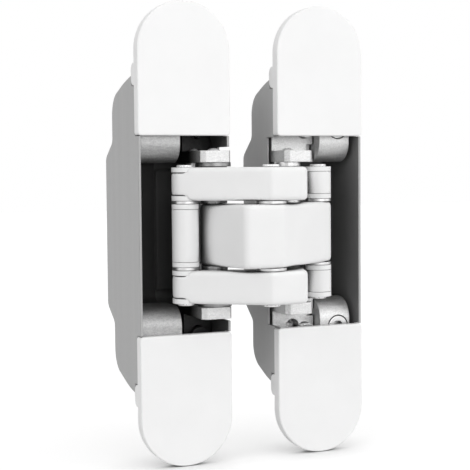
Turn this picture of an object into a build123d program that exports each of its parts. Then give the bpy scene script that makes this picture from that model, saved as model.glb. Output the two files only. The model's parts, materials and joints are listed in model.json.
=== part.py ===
from build123d import *
import os

# A concealed door hinge, drawn fully open, as when the door stands at 180 degrees.
# X runs across the two leaves, Y runs into the frame and the door, Z is up.
# The origin is the middle of the frame leaf's seat, the plane its flange rests on.
# Drawing is done in depths behind the cover faces, and each piece is moved at the end.

# Leaves
leaf_height = 134.0
leaf_width = 28.0
gap_width = 15.0
seat_depth = 3.4
window_half = 28.6

# Covers
cover_skin = 1.0
cover_depth = 3.3
cover_rim = 0.9
cover_window_depth = 2.0
cover_corner = 1.0
cover_edge_round = 0.4
cover_clearance = 0.1
tab_height = 6.3
tab_depth = 6.0
tab_place = 46.0
tab_hook = 0.5
tab_round = 2.1

# Housing bodies: each has a deep middle for the folded arms, then a shelf above and below
frame_body_depth = 33.4
frame_shelf_depth = 26.2
frame_deep_half = 22.6
frame_shelf_start = 27.2
door_body_depth = 26.8
door_shelf_depth = 20.0
door_deep_half = 23.0
door_shelf_start = 28.4
body_half = 40.1
body_inset = 0.2
body_corner = 5.0
shelf_round = 7.0
step_round = 2.5
side_wall = 0.9
deep_wall = 1.4
shelf_wall = 2.8
end_wall = 2.0
end_slope = 8.5
window_lip = 0.5
low_wall_depth = 8.4
frame_low_wall_half = 25.4
door_low_wall_half = 28.3
floor_pad_start = 1.2
floor_pad_height = 0.8
floor_pad_bevel = 0.5

# Fixing screw holes in each flange
fixing_spacing_x = 13.0
fixing_spacing_z = 108.0
fixing_hole_r = 2.3
fixing_sink_r = 3.8
fixing_sink_depth = 1.5

# Linkage, as plan positions of the frame side: inset from the gap edge, then depth
arm_pivot_inset = 4.3
arm_pivot_depth = 2.6
cross_reach = 12.0
knuckle_inset = 13.7
knuckle_depth = 1.2
link_pivot_inset = 6.92
link_pivot_depth = 11.8
link_eye_inset = 7.76
link_eye_depth = 12.88

# Stack of arms along Z
middle_arm_half = 9.0
stack_gap = 1.0
outer_arm_height = 9.5
play = 0.1
running = 0.05

# Arms and links
pivot_r = 4.0
knuckle_r = 3.9
cross_r = 5.0
shoulder_shift = 5.4
shoulder_reach = 10.3
middle_shoulder_r = 2.0
outer_shoulder_r = 3.5
cross_corner_r = 1.5
cross_corner_shift = 1.4
spacer_relief = 0.8
arm_round = 0.8
eye_r = 3.9
eye_travel = 1.45
link_waist = 2.9

# Pins, bushes, spacers and washers
pin_r = 2.0
link_pin_r = 1.3
pin_dome = 0.8
head_height = 0.7
head_r = 2.4
head_bevel = 0.2
bush_wall = 0.6
bush_flange = 1.4
bush_length = 4.2
bush_fit = 0.1
spacer_r = 3.9
link_spacer_r = 2.5
washer_r = 4.4
frame_washer_r = 5.0

# Brackets
bracket_front = -2.6
bracket_start = 20.9
bracket_thick = 3.4
bracket_bevel = 1.3
bracket_edge = 0.5
frame_bracket_width = 8.9
frame_bracket_back = 19.0
frame_post_front = 14.0
frame_post_start = 27.2
door_bracket_width = 8.5
door_bracket_back = 14.8
door_bracket_gap = 0.6
door_block_width = 13.6
door_block_front = 7.7
door_post_start = 27.9
bracket_notch = 2.0
bracket_gap = 0.1

# Clamping blocks
block_start = 20.9
block_end_room = 2.7
block_gap = 0.1
frame_clamp_width = 12.3
frame_clamp_front = 2.2
frame_clamp_nose = 5.5
frame_clamp_heel = 17.0
door_clamp_inset = 1.7
door_clamp_width = 10.0
door_clamp_front = 3.4
door_clamp_nose = 6.4
door_clamp_heel = 12.0

# Screws
screw_r = 2.0
screw_head_r = 3.1
frame_screw_head_r = 2.6
screw_head_height = 2.6
screw_sink_gap = 0.3
screw_socket = 3.0
screw_socket_depth = 1.8
frame_clamp_screw_inset = 3.8
door_upper_screw_inset = 4.2
door_lower_screw_inset = 6.0
door_clamp_screw_side = 3.9
post_screw_inset = 4.0
slot_travel = 1.3
set_screw_rise = 4.7
set_screw_side = 8.1
set_screw_depth = 3.4
set_screw_length = 6.0
set_screw_socket = 2.4

# How far a cutting shape runs past what it cuts
overrun = 1.0

# Worked out from the sizes above
leaf_half = leaf_width / 2
leaf_pitch = leaf_width + gap_width
gap_edge = gap_width / 2
pocket_half = leaf_half - side_wall
arm_pivot = (-(gap_edge + arm_pivot_inset), arm_pivot_depth)
knuckle = (-(gap_edge + knuckle_inset), knuckle_depth)
link_pivot = (-(gap_edge + link_pivot_inset), link_pivot_depth)
link_eye = (-(gap_edge + link_eye_inset), link_eye_depth)
cross = (0.0, -cross_reach)
outer_arm_start = middle_arm_half + stack_gap
outer_arm_end = outer_arm_start + outer_arm_height
bracket_end = bracket_start + bracket_thick
pocket_edge = -(gap_edge + side_wall)
outer_wall = -(gap_edge + leaf_width - side_wall)
block_end = body_half - end_wall - block_end_room
frame_clamp_screw_z = block_end - frame_clamp_screw_inset
door_upper_screw_z = block_end - door_upper_screw_inset
door_lower_screw_z = block_end - door_lower_screw_inset
post_screw_z = block_end - post_screw_inset
set_screw_z = bracket_end + set_screw_rise
set_screw_x = -(gap_edge + set_screw_side)
bush_r = pin_r + running + bush_wall
frame_floor = frame_shelf_depth - shelf_wall
door_floor = door_shelf_depth - shelf_wall
frame_bracket_near = pocket_edge - bracket_gap
frame_bracket_far = frame_bracket_near - frame_bracket_width
door_bracket_near = pocket_edge - door_bracket_gap
door_bracket_far = door_bracket_near - door_bracket_width
door_block_far = door_bracket_near - door_block_width
frame_clamp_far = outer_wall + block_gap
frame_clamp_near = frame_clamp_far + frame_clamp_width
door_clamp_far = outer_wall + door_clamp_inset
door_clamp_near = door_clamp_far + door_clamp_width

leaf_home = Pos(0, -seat_depth, 0)
door_home = Pos(leaf_pitch, -seat_depth, 0)
gap_home = Pos(leaf_pitch / 2, -seat_depth, 0)


def slab(sketch, front, back):
    """A front-view sketch given thickness from one depth to another."""
    return extrude(Plane.XZ.offset(-front) * sketch, back - front, dir=(0, 1, 0))


def plate(sketch, low, high):
    """A plan-view sketch given height from one level to another."""
    return extrude(Plane.XY.offset(low) * sketch, high - low, dir=(0, 0, 1))


def rib(sketch, left, right):
    """A side-view sketch of depth and height, given width from left to right."""
    return extrude(Plane.YZ.offset(left) * sketch, right - left, dir=(1, 0, 0))


def block(x_span, y_span, z_span):
    """A box between pairs of limits."""
    size = [high - low for low, high in (x_span, y_span, z_span)]
    centre = [(high + low) / 2 for low, high in (x_span, y_span, z_span)]
    return Pos(*centre) * Box(*size)


def rod(place, radius, low, high):
    """An upright cylinder at a plan position."""
    return plate(Pos(*place) * Circle(radius), low, high)


def drill(x, z, radius, front, back):
    """A round hole or boss along the depth."""
    return slab(Pos(x, z) * Circle(radius), front, back)


def across(place):
    """The same plan position on the other side of the gap."""
    return (-place[0], place[1])


def other_side(shape):
    """The mirror image across the middle of the gap."""
    return mirror(shape, about=Plane.YZ)


def upside_down(shape):
    """The mirror image across mid height."""
    return mirror(shape, about=Plane.XY)


def web(*ends):
    """The plan outline that wraps round ends, each a place and a radius."""
    rounds = [Pos(*place) * Circle(radius) for place, radius in ends]
    return make_hull([edge for circle in rounds for edge in circle.edges()])


def soften(solid, radius):
    """Round the rims of the top and bottom faces of an upright plate."""
    rims = solid.faces().sort_by(Axis.Z)[0].edges() + solid.faces().sort_by(Axis.Z)[-1].edges()
    return fillet(rims, radius)


def leaf_outline(inset):
    """The round-ended front outline of a leaf, drawn in by an inset."""
    return SlotOverall(leaf_height - 2 * inset, leaf_width - 2 * inset, rotation=90)


def closed_profile(points, radii):
    """A side-view face from its corners, with a radius at each corner but the ends."""
    path = FilletPolyline(*points, radius=radii)
    return make_face(path.edges() + Line(path @ 1, path @ 0).edges())


def above(inset, start, size=leaf_height):
    """The front outline of a leaf beyond a height, drawn in by an inset."""
    return leaf_outline(inset) & Pos(0, start + size / 2) * Rectangle(size, size)


def body_profile(depth, deep, shelf, start, half, corner):
    """Side view of the housing body or its pocket: a deep middle, then a shelf."""
    points = [(0, 0), (depth, 0), (depth, deep), (shelf, start), (shelf, half), (0, half + end_slope)]
    upper = closed_profile(points, [0, step_round, step_round, corner])
    return upper + mirror(upper, about=Plane.XZ)


def rounded_box(half_width, half_height, corner, front, back):
    """A slab with rounded upright corners."""
    return slab(RectangleRounded(2 * half_width, 2 * half_height, corner), front, back)


def fixing_holes():
    """Countersunk holes for the wood screws at the four corners of the pattern."""
    holes = []
    sink_front = cover_skin + cover_clearance
    sink_place = sink_front + fixing_sink_depth / 2
    for x in (-fixing_spacing_x / 2, fixing_spacing_x / 2):
        for z in (-fixing_spacing_z / 2, fixing_spacing_z / 2):
            holes.append(drill(x, z, fixing_hole_r, 0, frame_body_depth))
            cone = Cone(fixing_hole_r, fixing_sink_r, fixing_sink_depth)
            holes.append(Pos(x, sink_place, z) * Rot(90, 0, 0) * cone)
    return holes


def tab_notches():
    """Room for the cover tabs in the sides of the body."""
    notches = []
    reach = cover_rim + tab_hook + cover_clearance
    half = tab_height / 2 + cover_clearance
    for side in (-1, 1):
        for level in (-tab_place, tab_place):
            x_span = sorted((side * (leaf_half - reach), side * (leaf_half + overrun)))
            y_span = (cover_skin, tab_depth + cover_clearance)
            notches.append(block(x_span, y_span, (level - half, level + half)))
    return notches


def cover_rooms():
    """Room for the two covers: the rims down to the seat, and the skins over the flange."""
    inset = cover_rim + cover_clearance
    start = window_half - cover_clearance
    beyond = Pos(0, start + leaf_height / 2) * Rectangle(2 * leaf_width, leaf_height)
    inner = above(inset, window_half + inset)
    rooms = [
        slab(beyond - inner, -overrun, seat_depth),
        slab(inner, -overrun, cover_skin + cover_clearance),
    ]
    return rooms + [upside_down(room) for room in rooms]


def body_pocket(depth, deep, shelf, start):
    """The space inside a housing body."""
    floor = depth - deep_wall
    half = body_half - end_wall
    inner = (floor, deep - deep_wall, shelf - shelf_wall, start - deep_wall)
    pocket = rib(body_profile(*inner, half, shelf_round / 2), -pocket_half, pocket_half)
    pocket &= rounded_box(pocket_half, half + end_slope, body_corner - side_wall, 0, depth)
    pad_half = deep - deep_wall - step_round
    pad_y = (floor - floor_pad_height, floor + overrun)
    pad = block((floor_pad_start, pocket_half + overrun), pad_y, (-pad_half, pad_half))
    rim = pad.edges().filter_by(Axis.Z).sort_by(Axis.Y)[:2].sort_by(Axis.X)[0]
    return pocket - chamfer(rim, floor_pad_bevel)


def housing(depth, deep, shelf, start, low_half, screw_places):
    """A die-cast leaf body with its gap side on the right, where the wall is cut low."""
    half_width = leaf_half - body_inset
    outer = rib(body_profile(depth, deep, shelf, start, body_half, shelf_round), -half_width, half_width)
    outer &= rounded_box(half_width, body_half + end_slope, body_corner, 0, depth)
    flange = slab(leaf_outline(cover_rim + cover_clearance), cover_skin + cover_clearance, seat_depth)
    solid = outer + flange
    solid -= slab(Rectangle(2 * leaf_width, 2 * leaf_height), -overrun, window_lip)
    for room in cover_rooms():
        solid -= room
    solid -= body_pocket(depth, deep, shelf, start)
    low_x = (pocket_half - overrun, leaf_half + overrun)
    solid -= block(low_x, (-overrun, low_wall_depth), (-low_half, low_half))
    for cut in fixing_holes() + tab_notches():
        solid -= cut
    for x, z in screw_places:
        solid -= drill(x, z, screw_r + running, 0, depth)
    return solid


def cover():
    """The upper clip-on cover: a skin, a rim all round and a tab on each side."""
    outline = above(0, window_half)
    cut_corners = outline.vertices().sort_by(Axis.Y)[:2]
    outline = fillet(cut_corners, cover_corner)
    shell = slab(outline, 0, cover_depth)
    front_rim = shell.faces().sort_by(Axis.Y)[0].edges()
    shell = fillet(front_rim, cover_edge_round)
    shell -= slab(above(cover_rim, window_half + cover_rim), cover_skin, cover_depth)
    window_rim_z = (window_half, window_half + cover_rim + overrun)
    shell -= block((-pocket_half, pocket_half), (cover_window_depth, cover_depth), window_rim_z)
    for side in (-1, 1):
        x_span = sorted((side * (leaf_half - cover_rim), side * leaf_half))
        low = tab_place - tab_height / 2
        tab = block(x_span, (cover_skin, tab_depth), (low, low + tab_height))
        tip_edges = tab.edges().filter_by(Axis.X).sort_by(Axis.Y)[-2:]
        shell += fillet(tip_edges, tab_round)
        hook_span = sorted((side * (leaf_half - cover_rim - tab_hook), side * (leaf_half - cover_rim)))
        hook_z = (low + tab_round, low + tab_height - tab_round)
        shell += block(hook_span, (tab_depth - 2 * tab_hook, tab_depth), hook_z)
    return shell


def fork_plate(far, near, back, far_bevel, near_bevel):
    """A fork plate that carries one side's two fixed pins, with bevelled front corners."""
    corners = [
        (near, back),
        (near, bracket_front + near_bevel),
        (near - near_bevel, bracket_front),
        (far + far_bevel, bracket_front),
        (far, bracket_front + far_bevel),
        (far, back),
    ]
    return plate(Polygon(*corners, align=None), bracket_start, bracket_end)


def heel(back, floor, start, far, near):
    """The space behind a bracket, from the back of its fork plate out to the shelf."""
    corners = [(back, 0), (back, bracket_end), (floor, start), (leaf_height, start)]
    return rib(closed_profile(corners, [0, 0]), far - overrun, near + overrun)


def screw_slot(x, z, front, back):
    """An upright slot that leaves a screw room for height setting."""
    radius = screw_r + running
    slot = SlotCenterToCenter(2 * slot_travel, 2 * radius, rotation=90)
    return slab(Pos(x, z) * slot, front, back)


def pin_holes():
    """The holes of a side's two fixed pins through its upper bracket."""
    holes = rod(arm_pivot, pin_r + running, 0, bracket_end + overrun)
    return holes + rod(link_pivot, link_pin_r + running, 0, bracket_end + overrun)


def frame_bracket():
    """The upper frame bracket: fork plate, then a post that seats on the shelf."""
    far, near = frame_bracket_far, frame_bracket_near
    solid = block((far, near), (frame_post_front, frame_floor), (bracket_start, block_end))
    solid -= heel(frame_bracket_back, frame_floor, frame_post_start, far, near)
    solid += fork_plate(far, near, frame_bracket_back, bracket_bevel, bracket_edge)
    return solid - pin_holes() - screw_slot((far + near) / 2, post_screw_z, 0, frame_body_depth)


def door_bracket(with_set_screw):
    """The upper door bracket, drawn on the frame side: a broad block with the fork plate."""
    far, near = door_block_far, door_bracket_near
    solid = block((far, near), (door_block_front, door_floor), (block_start, block_end))
    notch_y = (0, door_block_front + bracket_notch)
    notch_z = (bracket_end, bracket_end + bracket_notch)
    solid -= block((far - overrun, far + bracket_notch), notch_y, notch_z)
    solid -= heel(door_bracket_back, door_floor, door_post_start, far, near)
    solid += fork_plate(door_bracket_far, near, door_bracket_back, bracket_edge, bracket_bevel)
    solid -= pin_holes()
    solid -= screw_slot(far + screw_head_r, post_screw_z, 0, door_body_depth)
    if with_set_screw:
        solid -= drill(set_screw_x, set_screw_z, screw_r + running, 0, door_body_depth)
    return solid


def clamp(far, near, front, nose, heel_depth, floor, start, screw_x, screw_z, head_r):
    """The upper clamping block of a leaf, with a round nose and a sunk screw hole."""
    corners = [
        (front, block_end),
        (front, block_start),
        (heel_depth, block_start),
        (floor, start),
        (floor, block_end),
    ]
    solid = rib(closed_profile(corners, [nose, 0, 0]), far, near)
    solid -= drill(screw_x, screw_z, head_r + screw_sink_gap, 0, front + screw_head_height)
    return solid - drill(screw_x, screw_z, screw_r + running, 0, floor)


def socket(x, z, front, size):
    """The hexagon socket of a screw that starts at a depth."""
    hexagon = RegularPolygon(size / 2, 6, major_radius=False)
    return slab(Pos(x, z) * hexagon, front - overrun, front + screw_socket_depth)


def socket_screw(x, z, front, tip, head_r=screw_head_r):
    """A cap screw with a hexagon socket, its head starting at a depth."""
    head = drill(x, z, head_r, front, front + screw_head_height)
    return head + drill(x, z, screw_r, front, tip) - socket(x, z, front, screw_socket)


def set_screw(x, z, front):
    """A headless screw with a hexagon socket."""
    body = drill(x, z, screw_r, front, front + set_screw_length)
    return body - socket(x, z, front, set_screw_socket)


def both(shape):
    """A piece and its mirror image across mid height, as one group."""
    return [shape, upside_down(shape)]


def domed_pin(place, radius, half):
    """A pin through both fork plates with low riveted domes."""
    ball_r = (radius * radius + pin_dome * pin_dome) / (2 * pin_dome)
    pin = rod(place, radius, -half, half)
    for side in (-1, 1):
        centre = side * (half + pin_dome - ball_r)
        ball = Pos(place[0], place[1], centre) * Sphere(ball_r)
        cap_span = sorted((side * half, side * (half + pin_dome)))
        pin += ball & rod(place, radius, *cap_span)
    return pin


def headed_pin(place, radius, half, rim_r):
    """A pin with a thin flat head at each end."""
    pin = rod(place, radius, -half, half)
    for low in (-half - head_height, half):
        head = rod(place, rim_r, low, low + head_height)
        pin += chamfer(head.edges().filter_by(GeomType.CIRCLE), head_bevel)
    return pin


def ring(place, outer, inner, low, high):
    """A washer or a spacer tube."""
    return rod(place, outer, low, high) - rod(place, inner, low, high)


def flanged_spacer(place):
    """The upper spacer on the frame side's arm pin: a tube with a broad washer end."""
    neck = outer_arm_end + 2 * play
    tube = ring(place, spacer_r, pin_r + running, middle_arm_half + play, neck)
    return tube + ring(place, frame_washer_r, pin_r + running, neck, bracket_start)


def flanged_bushes(place, low, high):
    """Two plastic bushes that line the ends of a knuckle and cap it with a flange."""
    inner = pin_r + running
    bushes = []
    for face, way in ((low, 1), (high, -1)):
        flange_span = sorted((face, face + way * bush_flange))
        sleeve_span = sorted((face, face + way * bush_length))
        flange = ring(place, knuckle_r, inner, *flange_span)
        bushes.append(flange + ring(place, bush_r, inner, *sleeve_span))
    return bushes


def knuckle_cuts(place, low, high):
    """Bore and flange recesses of a knuckle with flanged bushes."""
    cuts = [rod(place, bush_r + running, low, high)]
    recess = bush_flange + bush_fit
    cuts.append(rod(place, knuckle_r + bush_fit, low, low + recess))
    cuts.append(rod(place, knuckle_r + bush_fit, high - recess, high))
    return cuts


def arm_outline(shoulder_r):
    """Plan of an arm from the frame pivot, its bend widened to a flat-fronted shoulder."""
    shoulder = (cross[0] - shoulder_shift, cross[1])
    front = cross[1] - cross_r
    left = (cross[0] - shoulder_reach + shoulder_r, front + shoulder_r)
    right = (cross[0] + cross_corner_shift, front + cross_corner_r)
    bend = [(left, shoulder_r), (shoulder, cross_r), (cross, cross_r), (right, cross_corner_r)]
    shape = web((arm_pivot, pivot_r), (left, shoulder_r), (shoulder, cross_r))
    shape += web(*bend)
    shape += web((cross, cross_r), (right, cross_corner_r), (across(knuckle), knuckle_r))
    return shape - Pos(*across(arm_pivot)) * Circle(spacer_r + spacer_relief)


def arm_middle():
    """The middle arm, from the frame pivot over the gap to the door side's links."""
    low = -middle_arm_half
    solid = soften(plate(arm_outline(middle_shoulder_r), low, middle_arm_half), arm_round)
    for place in (arm_pivot, cross, across(knuckle)):
        solid -= rod(place, pin_r + running, low, middle_arm_half)
    return solid


def arm_outer():
    """The upper of the two outer arms, from the door pivot to the frame side's link."""
    outline = other_side(arm_outline(outer_shoulder_r))
    solid = soften(plate(outline, outer_arm_start, outer_arm_end), arm_round)
    for place in (across(arm_pivot), cross):
        solid -= rod(place, pin_r + running, outer_arm_start, outer_arm_end)
    for cut in knuckle_cuts(knuckle, outer_arm_start, outer_arm_end):
        solid -= cut
    return solid


def link(low, high):
    """A frame-side link: bushed knuckle at one end, open eye at the other."""
    outline = web((knuckle, link_waist), (link_eye, link_waist))
    outline += Pos(*knuckle) * Circle(knuckle_r)
    outline += Pos(*link_eye) * Circle(eye_r)
    solid = soften(plate(outline, low, high), arm_round)
    for cut in knuckle_cuts(knuckle, low, high):
        solid -= cut
    return solid - rod(link_eye, link_pin_r + eye_travel, low, high)


def shelf_holes(x, z):
    """The two places in the frame leaf drawing where a pair of screws passes the shelves."""
    return [(x + leaf_pitch / 2, z), (x + leaf_pitch / 2, -z)]


def frame_leaf():
    """Every piece fixed to the frame leaf."""
    post_x = (frame_bracket_far + frame_bracket_near) / 2
    clamp_x = (frame_clamp_far + frame_clamp_near) / 2
    head_front = frame_post_front - screw_head_height
    post_screw = socket_screw(post_x, post_screw_z, head_front, frame_shelf_depth)
    clamp_place = (clamp_x, frame_clamp_screw_z)
    clamp_screw = socket_screw(*clamp_place, frame_clamp_front, frame_shelf_depth, frame_screw_head_r)
    body = housing(
        frame_body_depth,
        frame_deep_half,
        frame_shelf_depth,
        frame_shelf_start,
        frame_low_wall_half,
        shelf_holes(post_x, post_screw_z) + shelf_holes(*clamp_place),
    )
    bracket = frame_bracket()
    clamp_block = clamp(
        frame_clamp_far,
        frame_clamp_near,
        frame_clamp_front,
        frame_clamp_nose,
        frame_clamp_heel,
        frame_floor,
        frame_post_start,
        *clamp_place,
        frame_screw_head_r,
    )
    link_inner = link_pin_r + running
    link_ring = ring(link_pivot, link_spacer_r, link_inner, middle_arm_half + play, bracket_start)
    lid = cover()
    return {
        "frame_housing": leaf_home * body,
        "frame_cover_upper": leaf_home * lid,
        "frame_cover_lower": leaf_home * upside_down(lid),
        "frame_bracket_upper": gap_home * bracket,
        "frame_bracket_lower": gap_home * upside_down(bracket),
        "frame_block_upper": gap_home * clamp_block,
        "frame_block_lower": gap_home * upside_down(clamp_block),
        "frame_block_screws": group(gap_home, both(clamp_screw)),
        "frame_bracket_screws": group(gap_home, both(post_screw)),
        "frame_arm_pin": gap_home * domed_pin(arm_pivot, pin_r, bracket_end),
        "frame_link_pin": gap_home * domed_pin(link_pivot, link_pin_r, bracket_end),
        "frame_arm_spacers": group(gap_home, both(flanged_spacer(arm_pivot))),
        "frame_link_spacers": group(gap_home, both(link_ring)),
    }


def door_leaf():
    """Every piece fixed to the door leaf, drawn on the frame side and mirrored."""
    post_x = door_block_far + screw_head_r
    clamp_x = door_clamp_far + door_clamp_screw_side
    head_front = door_block_front - screw_head_height
    post_screw = socket_screw(post_x, post_screw_z, head_front, door_shelf_depth)
    clamp_x_in_leaf = clamp_x + leaf_pitch / 2
    clamp_holes = [(clamp_x_in_leaf, door_upper_screw_z), (clamp_x_in_leaf, -door_lower_screw_z)]
    small_screw = set_screw(set_screw_x, set_screw_z, door_block_front + set_screw_depth)
    body = housing(
        door_body_depth,
        door_deep_half,
        door_shelf_depth,
        door_shelf_start,
        door_low_wall_half,
        shelf_holes(post_x, post_screw_z) + clamp_holes,
    )
    clamps = []
    clamp_screws = []
    for screw_z in (door_upper_screw_z, door_lower_screw_z):
        clamp_block = clamp(
            door_clamp_far,
            door_clamp_near,
            door_clamp_front,
            door_clamp_nose,
            door_clamp_heel,
            door_floor,
            door_post_start,
            clamp_x,
            screw_z,
            screw_head_r,
        )
        clamp_screw = socket_screw(clamp_x, screw_z, door_clamp_front, door_shelf_depth)
        clamps.append(other_side(clamp_block))
        clamp_screws.append(other_side(clamp_screw))
    clamp_screws[1] = upside_down(clamp_screws[1])
    middle_span = (-outer_arm_start + play, outer_arm_start - play)
    end_span = (outer_arm_end + play, bracket_start)
    arm_size = (spacer_r, pin_r + running)
    arm_rings = [ring(arm_pivot, *arm_size, *middle_span)]
    arm_rings += both(ring(arm_pivot, *arm_size, *end_span))
    link_size = (link_spacer_r, link_pin_r + running)
    link_rings = [ring(link_pivot, *link_size, *middle_span)]
    link_rings += both(ring(link_pivot, *link_size, *end_span))
    lid = cover()
    pin_half = bracket_end - running
    return {
        "door_housing": door_home * other_side(body),
        "door_cover_upper": door_home * lid,
        "door_cover_lower": door_home * upside_down(lid),
        "door_bracket_upper": gap_home * other_side(door_bracket(False)),
        "door_bracket_lower": gap_home * other_side(upside_down(door_bracket(True))),
        "door_block_upper": gap_home * clamps[0],
        "door_block_lower": gap_home * upside_down(clamps[1]),
        "door_block_screws": group(gap_home, clamp_screws),
        "door_bracket_screws": group(gap_home, map(other_side, both(post_screw))),
        "door_set_screw": gap_home * other_side(upside_down(small_screw)),
        "door_arm_pin": gap_home * other_side(domed_pin(arm_pivot, pin_r, bracket_end)),
        "door_link_pin": gap_home * other_side(rod(link_pivot, link_pin_r, -pin_half, pin_half)),
        "door_arm_spacers": group(gap_home, map(other_side, arm_rings)),
        "door_link_spacers": group(gap_home, map(other_side, link_rings)),
    }


def linkage():
    """The two crossing arms, the links and the pins that they carry."""
    far_knuckle = across(knuckle)
    upper = (outer_arm_start, outer_arm_end)
    washer_span = (middle_arm_half + play, outer_arm_start - play)
    inner = pin_r + running
    knuckle_washer = ring(knuckle, knuckle_r, inner, *washer_span)
    arm = arm_outer()
    far_link = other_side(link(*upper))
    arm_bushes = flanged_bushes(knuckle, *upper)
    middle_bushes = flanged_bushes(knuckle, -middle_arm_half, middle_arm_half)
    link_bushes = [other_side(bush) for bush in arm_bushes]
    return {
        "arm_middle": gap_home * arm_middle(),
        "arm_upper": gap_home * arm,
        "arm_lower": gap_home * upside_down(arm),
        "link_middle": gap_home * link(-middle_arm_half, middle_arm_half),
        "link_upper": gap_home * far_link,
        "link_lower": gap_home * upside_down(far_link),
        "crossing_pin": gap_home * headed_pin(cross, pin_r, outer_arm_end, head_r),
        "frame_knuckle_pin": gap_home * headed_pin(knuckle, pin_r, outer_arm_end, head_r),
        "door_knuckle_pin": gap_home * headed_pin(far_knuckle, pin_r, outer_arm_end, head_r),
        "crossing_washers": group(gap_home, both(ring(cross, washer_r, inner, *washer_span))),
        "frame_knuckle_washers": group(gap_home, both(knuckle_washer)),
        "door_knuckle_washers": group(gap_home, map(other_side, both(knuckle_washer))),
        "arm_upper_bushes": group(gap_home, arm_bushes),
        "arm_lower_bushes": group(gap_home, map(upside_down, arm_bushes)),
        "link_middle_bushes": group(gap_home, middle_bushes),
        "link_upper_bushes": group(gap_home, link_bushes),
        "link_lower_bushes": group(gap_home, map(upside_down, link_bushes)),
    }


def group(home, pieces):
    """Like pieces kept together as separate solids."""
    return Compound(children=[home * piece for piece in pieces])


def main():
    """Write one file for each piece or group of like pieces."""
    os.makedirs("parts", exist_ok=True)
    for pieces in (frame_leaf(), door_leaf(), linkage()):
        for name, shape in pieces.items():
            export_step(shape, f"parts/{name}.step")


main()
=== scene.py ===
import bpy
import json
from math import cos, radians, sin
from mathutils import Matrix, Vector


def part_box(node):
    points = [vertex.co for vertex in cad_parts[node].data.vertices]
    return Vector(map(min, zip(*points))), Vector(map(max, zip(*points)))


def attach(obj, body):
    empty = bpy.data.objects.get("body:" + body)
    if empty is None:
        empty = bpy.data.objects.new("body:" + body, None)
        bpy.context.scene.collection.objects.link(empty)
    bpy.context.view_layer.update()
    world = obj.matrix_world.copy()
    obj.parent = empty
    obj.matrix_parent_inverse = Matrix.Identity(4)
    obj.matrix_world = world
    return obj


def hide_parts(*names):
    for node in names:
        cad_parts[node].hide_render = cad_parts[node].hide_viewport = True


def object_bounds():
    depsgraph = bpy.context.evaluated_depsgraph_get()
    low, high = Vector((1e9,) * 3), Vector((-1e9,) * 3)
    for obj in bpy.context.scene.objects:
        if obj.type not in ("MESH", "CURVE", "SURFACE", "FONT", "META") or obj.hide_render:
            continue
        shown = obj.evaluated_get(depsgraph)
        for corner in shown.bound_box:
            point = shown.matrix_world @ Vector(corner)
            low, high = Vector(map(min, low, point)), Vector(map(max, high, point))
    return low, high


# Sizes are in metres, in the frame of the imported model.
MM = 0.001

# Camera, fitted to the outlines of the two leaves
CAMERA_PLACE = Vector((-114.5, -321.2, 19.4)) * MM
CAMERA_YAW = radians(22.2)
CAMERA_PITCH = radians(3.28)
CAMERA_ROLL = radians(-0.46)
SENSOR_MM = 36.0
PICTURE_SIZE = 470
FOCAL_PIXELS = 1179.0
NEAREST_SEEN = 10.0 * MM

# Light: each sun has a direction to it, a strength and an angle that softens its shadows
WORLD_LEVEL = 0.49
BACKGROUND_LEVEL = 1.0
SUNS = {
    "front": ((0.10, -1.0, 0.12), 1.24, 50.0),
    "left": ((-1.0, -0.5, 0.5), 0.68, 50.0),
    "right": ((1.0, -0.6, 0.45), 0.86, 50.0),
    "top": ((0.0, 0.15, 1.0), 0.25, 80.0),
}

# Floor: it glows, but less where something stands nearer than the reach of the shade, so that
# the dimmed glow paints a shadow round the object.
# FLOOR_OPEN is how open a place is where the glow starts and where it is full.
FLOOR_SIZE = 4.0
FLOOR_TONE = 0.6
FLOOR_ROUGHNESS = 0.8
FLOOR_SPECULAR = 0.1
FLOOR_GLOW = 0.57
FLOOR_SHADE = 16.0 * MM
FLOOR_OPEN = (0.15, 1.0)

# Housing bodies, whose pockets get painted shade: the tones of their skin, the pitch of the
# leaves, how deep the middle of each pocket lies, how far the pocket reaches up and down, how
# far right of its middle the land with less painted shade starts, and how strong its clouds
# are
SKIN = (0.42, 0.48)
LEAF_PITCH = 43.0 * MM
POCKET_MIDDLE = 12.0 * MM
POCKET_HALF_HEIGHT = 38.5 * MM
LAND_START = 1.1 * MM
POCKET_CLOUDS = 0.3

# Blasted steel: the shares of clouds and pits in the grit, and the values that it spans
CLOUD_SHARE = 0.4
PIT_SHARE = 0.6
GRIT_SPAN = (0.32, 0.68)

# Frame brackets: painted shade, none at the front up to one depth and near black from another,
# in two tones
BRACKET_SHADE = (0.02, 0.04)
UNSHADED_DEPTH = -2.2 * MM
SHADE_DEPTH = 5.0 * MM

# Painted shade in crevices: how open a place is where it is darkest and where it ends, its
# tone, and how near the other side of a crevice is, on blocks and on bushes
CREVICE = (0.2, 0.52)
CREVICE_SHADE_TONE = 0.1
CREVICE_SAMPLES = 8
BLOCK_CREVICE = 1.2 * MM
BUSH_CREVICE = 1.5 * MM

# Edges: the radius that they seem to have in the light
EDGE = 0.3 * MM
CAST_EDGE = 0.7 * MM
EDGE_SAMPLES = 6

# Reflection of paint, castings and plastic, and how metallic the steels are
SPECULAR = 0.3
TURNED_METALLIC = 0.9
BLASTED_METALLIC = 0.8

# Softened castings: each arm's body, the size of its even mesh and how much it is smoothed
ARM_BODIES = {"arm_upper": "outer_arms", "arm_lower": "outer_arms", "arm_middle": "middle_arm"}
EVEN_SIZE = 0.25 * MM
SMOOTH_STEPS = 64
SMOOTH_SHARE = 0.5


def grey(tone):
    """An opaque colour with the same tone in red, green and blue."""
    return (tone, tone, tone, 1.0)


def principled(name):
    """A new material, its node tree and its principled shader."""
    material = bpy.data.materials.new(name)
    material.use_nodes = True
    tree = material.node_tree
    tree.nodes.clear()
    output = tree.nodes.new("ShaderNodeOutputMaterial")
    shader = tree.nodes.new("ShaderNodeBsdfPrincipled")
    tree.links.new(shader.outputs["BSDF"], output.inputs["Surface"])
    return material, tree, shader


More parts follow.
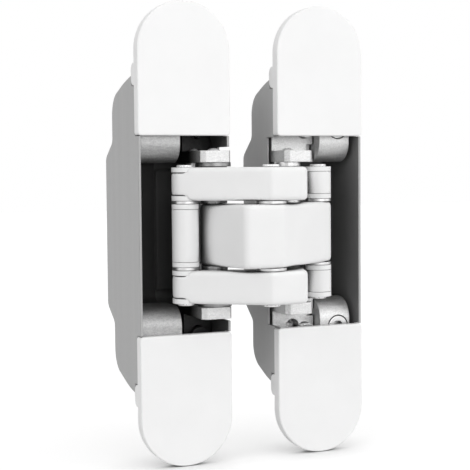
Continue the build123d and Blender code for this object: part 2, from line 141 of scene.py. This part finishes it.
def noise(tree, scale, detail=2.0, stretch=(1.0, 1.0, 1.0)):
    """A noise texture in object space, drawn out along an axis whose stretch is below 1."""
    coordinates = tree.nodes.new("ShaderNodeTexCoord")
    mapping = tree.nodes.new("ShaderNodeMapping")
    mapping.inputs["Scale"].default_value = stretch
    texture = tree.nodes.new("ShaderNodeTexNoise")
    texture.inputs["Scale"].default_value = scale
    texture.inputs["Detail"].default_value = detail
    tree.links.new(coordinates.outputs["Object"], mapping.inputs["Vector"])
    tree.links.new(mapping.outputs["Vector"], texture.inputs["Vector"])
    return texture.outputs["Fac"]


def span(tree, value, low, high, start=0.0, end=1.0):
    """From low to high, and no further, as a value goes from start to end."""
    ranger = tree.nodes.new("ShaderNodeMapRange")
    ranger.inputs["From Min"].default_value = start
    ranger.inputs["From Max"].default_value = end
    ranger.inputs["To Min"].default_value = low
    ranger.inputs["To Max"].default_value = high
    tree.links.new(value, ranger.inputs["Value"])
    return ranger.outputs["Result"]


def tint(tree, value, dark, light):
    """A grey between two tones, dark where the value is 0 and light where it is 1."""
    ramp = tree.nodes.new("ShaderNodeValToRGB")
    ramp.color_ramp.elements[0].color = grey(dark)
    ramp.color_ramp.elements[1].color = grey(light)
    tree.links.new(value, ramp.inputs["Fac"])
    return ramp.outputs["Color"]


def blend(tree, share, first, second):
    """One colour where the share is 0 and another where it is 1."""
    mix = tree.nodes.new("ShaderNodeMix")
    mix.data_type = "RGBA"
    tree.links.new(share, mix.inputs["Factor"])
    tree.links.new(first, mix.inputs["A"])
    tree.links.new(second, mix.inputs["B"])
    return mix.outputs["Result"]


def math_node(tree, operation, *values):
    """A maths node whose inputs are each a socket or a number."""
    node = tree.nodes.new("ShaderNodeMath")
    node.operation = operation
    for index, value in enumerate(values):
        if isinstance(value, float):
            node.inputs[index].default_value = value
        else:
            tree.links.new(value, node.inputs[index])
    return node.outputs[0]


def place(tree, axis):
    """A point's place along one axis of the frame."""
    coordinates = tree.nodes.new("ShaderNodeTexCoord")
    parts = tree.nodes.new("ShaderNodeSeparateXYZ")
    tree.links.new(coordinates.outputs["Object"], parts.inputs[0])
    return parts.outputs[axis]


def openness(tree, reach):
    """1 where nothing is near, down to 0 deep in a crevice."""
    hollow = tree.nodes.new("ShaderNodeAmbientOcclusion")
    hollow.samples = CREVICE_SAMPLES
    hollow.inputs["Distance"].default_value = reach
    return hollow.outputs["AO"]


def shaded_in_crevices(tree, colour, reach):
    """A colour with painted shade in crevices, darkest where least is open round a point."""
    crevice_shade = tree.nodes.new("ShaderNodeRGB")
    crevice_shade.outputs[0].default_value = grey(CREVICE_SHADE_TONE)
    unshaded = span(tree, openness(tree, reach), 0.0, 1.0, *CREVICE)
    return blend(tree, unshaded, crevice_shade.outputs[0], colour)


def paint(tree, shader, colour, roughness):
    """The shader's colour and roughness, each from a socket."""
    tree.links.new(colour, shader.inputs["Base Color"])
    tree.links.new(roughness, shader.inputs["Roughness"])


def relief(tree, shader, height, strength, distance, edge=EDGE):
    """A bump from a height value, over edges that catch the light like rounded ones."""
    bump = tree.nodes.new("ShaderNodeBump")
    bump.inputs["Strength"].default_value = strength
    bump.inputs["Distance"].default_value = distance
    rounded = tree.nodes.new("ShaderNodeBevel")
    rounded.samples = EDGE_SAMPLES
    rounded.inputs["Radius"].default_value = edge
    tree.links.new(rounded.outputs["Normal"], bump.inputs["Normal"])
    tree.links.new(height, bump.inputs["Height"])
    tree.links.new(bump.outputs["Normal"], shader.inputs["Normal"])


def lacquer(name, dark, light, roughness, edge, reach):
    """Satin white lacquer: faint tone drift, a fine orange-peel skin and painted shade in
    crevices.
    """
    material, tree, shader = principled(name)
    drift = noise(tree, scale=90.0, detail=3.0)
    gloss = noise(tree, scale=400.0)
    peel = noise(tree, scale=1600.0)
    colour = shaded_in_crevices(tree, tint(tree, drift, dark, light), reach)
    paint(tree, shader, colour, span(tree, gloss, roughness - 0.04, roughness + 0.04))
    shader.inputs["Specular IOR Level"].default_value = SPECULAR
    relief(tree, shader, peel, strength=0.05, distance=0.2 * MM, edge=edge)
    return material


def facing(tree, centre):
    """1 on the faces of a housing that look towards a point inside its pocket, where shade is
    painted.
    """
    coordinates = tree.nodes.new("ShaderNodeTexCoord")
    inward = tree.nodes.new("ShaderNodeVectorMath")
    inward.operation = "SUBTRACT"
    inward.inputs[0].default_value = centre
    tree.links.new(coordinates.outputs["Object"], inward.inputs[1])
    dot = tree.nodes.new("ShaderNodeVectorMath")
    dot.operation = "DOT_PRODUCT"
    tree.links.new(inward.outputs["Vector"], dot.inputs[0])
    tree.links.new(coordinates.outputs["Normal"], dot.inputs[1])
    looks_in = math_node(tree, "GREATER_THAN", dot.outputs["Value"], 0.0)
    level = math_node(tree, "ABSOLUTE", place(tree, "Z"))
    near = math_node(tree, "LESS_THAN", level, POCKET_HALF_HEIGHT)
    return math_node(tree, "MULTIPLY", looks_in, near)


def cast(name, centre, dark, light):
    """Satin die-cast metal: a drawn skin outside, and painted shade that darkens the pocket."""
    material, tree, shader = principled(name)
    bands = noise(tree, scale=260.0, detail=3.0, stretch=(1.0, 1.0, 0.03))
    clouds = noise(tree, scale=150.0, detail=3.0, stretch=(1.0, 1.0, 0.2))
    gloss = noise(tree, scale=700.0, detail=4.0)
    grain = noise(tree, scale=2600.0, detail=3.0)
    across = math_node(tree, "SUBTRACT", place(tree, "X"), centre[0])
    land = math_node(tree, "GREATER_THAN", across, LAND_START)
    share = math_node(tree, "ADD", math_node(tree, "MULTIPLY", clouds, POCKET_CLOUDS), land)
    # The pocket's dark tones are painted shade, less of it on the land.
    inside = tint(tree, span(tree, share, 0.0, 1.0, end=1.0 + POCKET_CLOUDS), dark, light)
    colour = blend(tree, facing(tree, centre), tint(tree, bands, *SKIN), inside)
    paint(tree, shader, colour, span(tree, gloss, low=0.42, high=0.56))
    shader.inputs["Specular IOR Level"].default_value = SPECULAR
    relief(tree, shader, grain, strength=0.1, distance=0.2 * MM, edge=CAST_EDGE)
    return material


def steel(name, dark, light, roughness, metallic=TURNED_METALLIC):
    """Turned steel with a fine grain."""
    material, tree, shader = principled(name)
    grain = noise(tree, scale=900.0, detail=3.0)
    gloss = span(tree, grain, roughness - 0.06, roughness + 0.1)
    paint(tree, shader, tint(tree, grain, dark, light), gloss)
    shader.inputs["Metallic"].default_value = metallic
    relief(tree, shader, grain, strength=0.1, distance=0.1 * MM)
    return material


def blasted(name, dark, light, shaded_deep=False):
    """Grit-blasted steel: cloudy tone, a pitted skin, painted shade in crevices and, if shaded
    deep, near-black painted shade deep inside.
    """
    material, tree, shader = principled(name)
    clouds = noise(tree, scale=1300.0, detail=4.0, stretch=(0.5, 1.0, 1.0))
    pits = noise(tree, scale=3000.0, detail=3.0, stretch=(0.7, 1.0, 1.0))
    cloudy = math_node(tree, "MULTIPLY", clouds, CLOUD_SHARE)
    grit = math_node(tree, "ADD", cloudy, math_node(tree, "MULTIPLY", pits, PIT_SHARE))
    colour = tint(tree, span(tree, grit, 0.0, 1.0, *GRIT_SPAN), dark, light)
    # Deep in the frame brackets a near-black tone is painted shade for the shadow under the cover.
    if shaded_deep:
        depth = span(tree, place(tree, "Y"), 0.0, 1.0, UNSHADED_DEPTH, SHADE_DEPTH)
        colour = blend(tree, depth, colour, tint(tree, clouds, *BRACKET_SHADE))
    gloss = span(tree, clouds, low=0.34, high=0.52)
    paint(tree, shader, shaded_in_crevices(tree, colour, BLOCK_CREVICE), gloss)
    shader.inputs["Metallic"].default_value = BLASTED_METALLIC
    relief(tree, shader, grit, strength=0.5, distance=0.3 * MM)
    return material


def moulded(name, dark, light):
    """Satin moulded plastic with painted shade in crevices."""
    material, tree, shader = principled(name)
    drift = noise(tree, scale=300.0)
    gloss = noise(tree, scale=900.0)
    grain = noise(tree, scale=2200.0)
    colour = shaded_in_crevices(tree, tint(tree, drift, dark, light), BUSH_CREVICE)
    paint(tree, shader, colour, span(tree, gloss, low=0.38, high=0.5))
    shader.inputs["Specular IOR Level"].default_value = SPECULAR
    relief(tree, shader, grain, strength=0.05, distance=0.1 * MM)
    return material


def dress(frame):
    """Give each node a material of its own, or else that of its slot."""
    frame_pocket = (0.0, POCKET_MIDDLE, 0.0)
    door_pocket = (LEAF_PITCH, POCKET_MIDDLE, 0.0)
    frame_bracket = blasted("frame_bracket_steel", 0.44, 0.62, shaded_deep=True)
    # A darker copy of the block steel paints the shade on the frame's blocks.
    frame_block = blasted("frame_block_shaded_steel", 0.26, 0.39)
    apart = {
        # The housings' pocket tones are painted shade, deeper in the frame housing.
        "frame_housing": cast("frame_housing_cast", frame_pocket, 0.04, 0.11),
        "door_housing": cast("door_housing_cast", door_pocket, 0.12, 0.18),
        "frame_bracket_upper": frame_bracket,
        "frame_bracket_lower": frame_bracket,
        "frame_block_upper": frame_block,
        "frame_block_lower": frame_block,
        "frame_bracket_screws": steel("black_steel", 0.03, 0.05, roughness=0.4),
        "frame_arm_spacers": steel("frame_spacer_steel", 0.2, 0.32, roughness=0.34),
    }
    finishes = {
        "cover_white": lacquer("cover_lacquer", 0.87, 0.92, 0.34, edge=0.4 * MM, reach=1.5 * MM),
        "arm_white": lacquer("arm_lacquer", 0.83, 0.89, 0.36, edge=0.3 * MM, reach=8.0 * MM),
        "block_steel": blasted("block_steel", 0.44, 0.64),
        # The pins' pale, little-metallic tone is partly the steel's own and partly a painted
        # reflection on their domes.
        "pin_steel": steel("pin_steel", 0.80, 0.92, roughness=0.26, metallic=0.4),
        "screw_steel": steel("screw_steel", 0.55, 0.68, roughness=0.28),
        "washer_steel": steel("washer_steel", 0.5, 0.62, roughness=0.3),
        "bush_white": moulded("bush_plastic", 0.83, 0.90),
    }
    for row in frame["record"]["subparts"]:
        node = row["node"]
        piece = frame["nodes"][node]
        piece.data.materials.clear()
        piece.data.materials.append(apart.get(node) or finishes[row["material_slot"]])


def add(name, data):
    """A new object in the scene."""
    piece = bpy.data.objects.new(name, data)
    bpy.context.scene.collection.objects.link(piece)
    return piece


def soften(frame, node, body):
    """A cast arm with its edges worn round, in place of the sharp one."""
    piece = add(node + "_cast", frame["nodes"][node].data.copy())
    even = piece.modifiers.new("even", "REMESH")
    even.mode = "VOXEL"
    even.voxel_size = EVEN_SIZE
    even.use_smooth_shade = True
    smooth = piece.modifiers.new("smooth", "SMOOTH")
    smooth.factor = SMOOTH_SHARE
    smooth.iterations = SMOOTH_STEPS
    changed = piece.evaluated_get(bpy.context.evaluated_depsgraph_get())
    mesh = bpy.data.meshes.new_from_object(changed)
    low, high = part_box(node)
    for vertex in mesh.vertices:
        vertex.co = [min(max(at, first), last) for at, first, last in zip(vertex.co, low, high)]
    piece.modifiers.clear()
    piece.data = mesh
    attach(piece, body)
    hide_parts(node)


def add_camera():
    """The camera at the photograph's viewing angle."""
    ahead = Vector((sin(CAMERA_YAW), cos(CAMERA_YAW), 0.0))
    forward = cos(CAMERA_PITCH) * ahead - Vector((0.0, 0.0, sin(CAMERA_PITCH)))
    level = Vector((cos(CAMERA_YAW), -sin(CAMERA_YAW), 0.0))
    upright = level.cross(forward)
    right = cos(CAMERA_ROLL) * level + sin(CAMERA_ROLL) * upright
    up = cos(CAMERA_ROLL) * upright - sin(CAMERA_ROLL) * level
    data = bpy.data.cameras.new("camera")
    data.sensor_width = SENSOR_MM
    data.lens = FOCAL_PIXELS / PICTURE_SIZE * SENSOR_MM
    data.clip_start = NEAREST_SEEN
    camera = add("camera", data)
    turn = Matrix((right, up, -forward)).transposed()
    camera.matrix_world = Matrix.Translation(CAMERA_PLACE) @ turn.to_4x4()
    bpy.context.scene.camera = camera


def add_sun(name, way, strength, angle):
    """A soft distant lamp whose light comes from a direction."""
    data = bpy.data.lights.new(name, "SUN")
    data.energy = strength
    data.angle = radians(angle)
    lamp = add(name, data)
    lamp.rotation_euler = Vector(way).to_track_quat("Z", "Y").to_euler()


def camera_ray(tree):
    """1 where a ray comes from the camera, a mirror or glass."""
    path = tree.nodes.new("ShaderNodeLightPath")
    seen = math_node(tree, "MAXIMUM", path.outputs["Is Camera Ray"], path.outputs["Is Glossy Ray"])
    return math_node(tree, "MAXIMUM", seen, path.outputs["Is Transmission Ray"])


def white_light(tree, level):
    """Even white light from all round."""
    light = tree.nodes.new("ShaderNodeBackground")
    light.inputs["Color"].default_value = grey(1.0)
    light.inputs["Strength"].default_value = level
    return light.outputs[0]


def add_world():
    """Even soft light, with a white background where the camera looks."""
    world = bpy.data.worlds.new("studio")
    bpy.context.scene.world = world
    world.use_nodes = True
    tree = world.node_tree
    tree.nodes.clear()
    output = tree.nodes.new("ShaderNodeOutputWorld")
    mix = tree.nodes.new("ShaderNodeMixShader")
    tree.links.new(camera_ray(tree), mix.inputs["Fac"])
    tree.links.new(white_light(tree, WORLD_LEVEL), mix.inputs[1])
    tree.links.new(white_light(tree, BACKGROUND_LEVEL), mix.inputs[2])
    tree.links.new(mix.outputs[0], output.inputs["Surface"])


def add_floor(height):
    """A plain pale floor that keeps the object's shadow, glows white where open, and has a painted
    shadow near the object.
    """
    half = FLOOR_SIZE / 2
    corners = [(-half, -half), (half, -half), (half, half), (-half, half)]
    mesh = bpy.data.meshes.new("floor")
    mesh.from_pydata([(*corner, height) for corner in corners], [], [(0, 1, 2, 3)])
    floor = add("floor", mesh)
    material, tree, shader = principled("floor_white")
    shader.inputs["Base Color"].default_value = grey(FLOOR_TONE)
    shader.inputs["Roughness"].default_value = FLOOR_ROUGHNESS
    shader.inputs["Specular IOR Level"].default_value = FLOOR_SPECULAR
    shader.inputs["Emission Color"].default_value = grey(1.0)
    # Near the object the glow dims, which paints a shadow on the floor.
    glow = span(tree, openness(tree, FLOOR_SHADE), 0.0, FLOOR_GLOW, *FLOOR_OPEN)
    seen = math_node(tree, "MULTIPLY", glow, camera_ray(tree))
    tree.links.new(seen, shader.inputs["Emission Strength"])
    mesh.materials.append(material)


def corners_of(bounds):
    """A pair of corners as plain lists."""
    return [[float(value) for value in corner] for corner in bounds]


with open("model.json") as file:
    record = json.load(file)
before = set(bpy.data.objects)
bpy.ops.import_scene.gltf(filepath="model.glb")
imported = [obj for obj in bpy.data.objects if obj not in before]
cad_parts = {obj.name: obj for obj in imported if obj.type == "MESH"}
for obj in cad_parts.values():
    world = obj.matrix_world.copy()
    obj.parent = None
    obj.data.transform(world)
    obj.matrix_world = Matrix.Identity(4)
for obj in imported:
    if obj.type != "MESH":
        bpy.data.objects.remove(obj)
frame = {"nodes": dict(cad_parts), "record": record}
cad_bounds = corners_of(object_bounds())
bpy.context.scene.view_settings.view_transform = "Standard"
dress(frame)
for node, body in ARM_BODIES.items():
    soften(frame, node, body)
add_camera()
add_world()
for name, (way, strength, angle) in SUNS.items():
    add_sun(name, way, strength, angle)
add_floor(cad_bounds[0][2])
